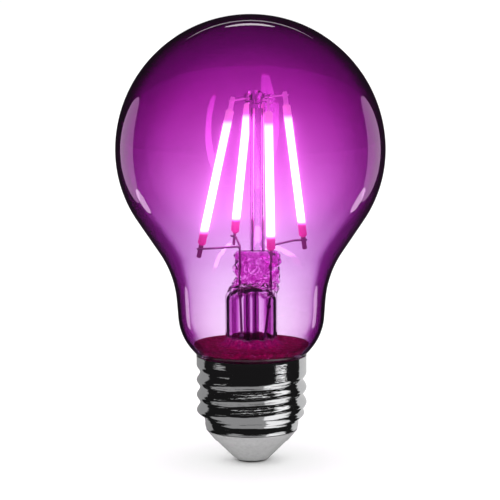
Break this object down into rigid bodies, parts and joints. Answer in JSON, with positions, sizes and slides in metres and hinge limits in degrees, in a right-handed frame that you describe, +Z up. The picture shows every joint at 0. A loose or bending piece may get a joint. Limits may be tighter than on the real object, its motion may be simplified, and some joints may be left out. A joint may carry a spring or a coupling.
{
  "type": "led filament light bulb",
  "caption": "Pear-shaped light bulb with a clear violet-tinted envelope, glowing strip filaments on a glass stem, and a plated screw cap",
  "frame": {"origin": "bottom of the centre contact, on the bulb's axis", "axes": "+Z up along the bulb's axis from the cap to the envelope's crown; -Y is the front, as in the picture; +X to the right"},
  "size_m": [0.0636, 0.0634, 0.1059],
  "materials": {
    "tinted_glass": "clear violet tint, fading towards the neck",
    "clear_glass": "clear, fire polished",
    "filament_coating": "silicone coating with phosphor",
    "tab_metal": "plain bright strip",
    "wire_metal": "drawn nickel wire",
    "cap_plating": "nickel plated, bright",
    "insulator_plastic": "smooth, pale grey",
    "contact_metal": "tinned, satin",
    "cement": "matte, slightly grainy",
    "board_laminate": "satin laminate",
    "package_plastic": "moulded, matte",
    "capacitor_sleeve": "shrunk sleeve",
    "resistor_body": "satin lacquer",
    "insulated_wire": "smooth insulation"
  },
  "bodies": {
    "root": {"anchor_wire_1": "wire_metal", "anchor_wire_2": "wire_metal", "anchor_wire_3": "wire_metal", "anchor_wire_4": "wire_metal", "basing_cement": "cement", "bridge_rectifier": "package_plastic", "cap_shell": "cap_plating", "centre_contact": "contact_metal", "driver_board": "board_laminate", "driver_chip": "package_plastic", "exhaust_tube": "clear_glass", "filament_1": "filament_coating", "filament_2": "filament_coating", "filament_3": "filament_coating", "filament_4": "filament_coating", "fuse_resistor": "resistor_body", "glass_envelope": "tinted_glass", "insulator": "insulator_plastic", "lead_wire_left": "wire_metal", "lead_wire_right": "wire_metal", "line_wire": "insulated_wire", "lower_tab_1": "tab_metal", "lower_tab_2": "tab_metal", "lower_tab_3": "tab_metal", "lower_tab_4": "tab_metal", "neutral_wire": "insulated_wire", "smoothing_capacitor": "capacitor_sleeve", "stem_flare": "clear_glass", "stem_post": "clear_glass", "support_wire_1": "wire_metal", "support_wire_2": "wire_metal", "support_wire_3": "wire_metal", "support_wire_4": "wire_metal", "upper_tab_1": "tab_metal", "upper_tab_2": "tab_metal", "upper_tab_3": "tab_metal", "upper_tab_4": "tab_metal"}
  },
  "joints": []
}
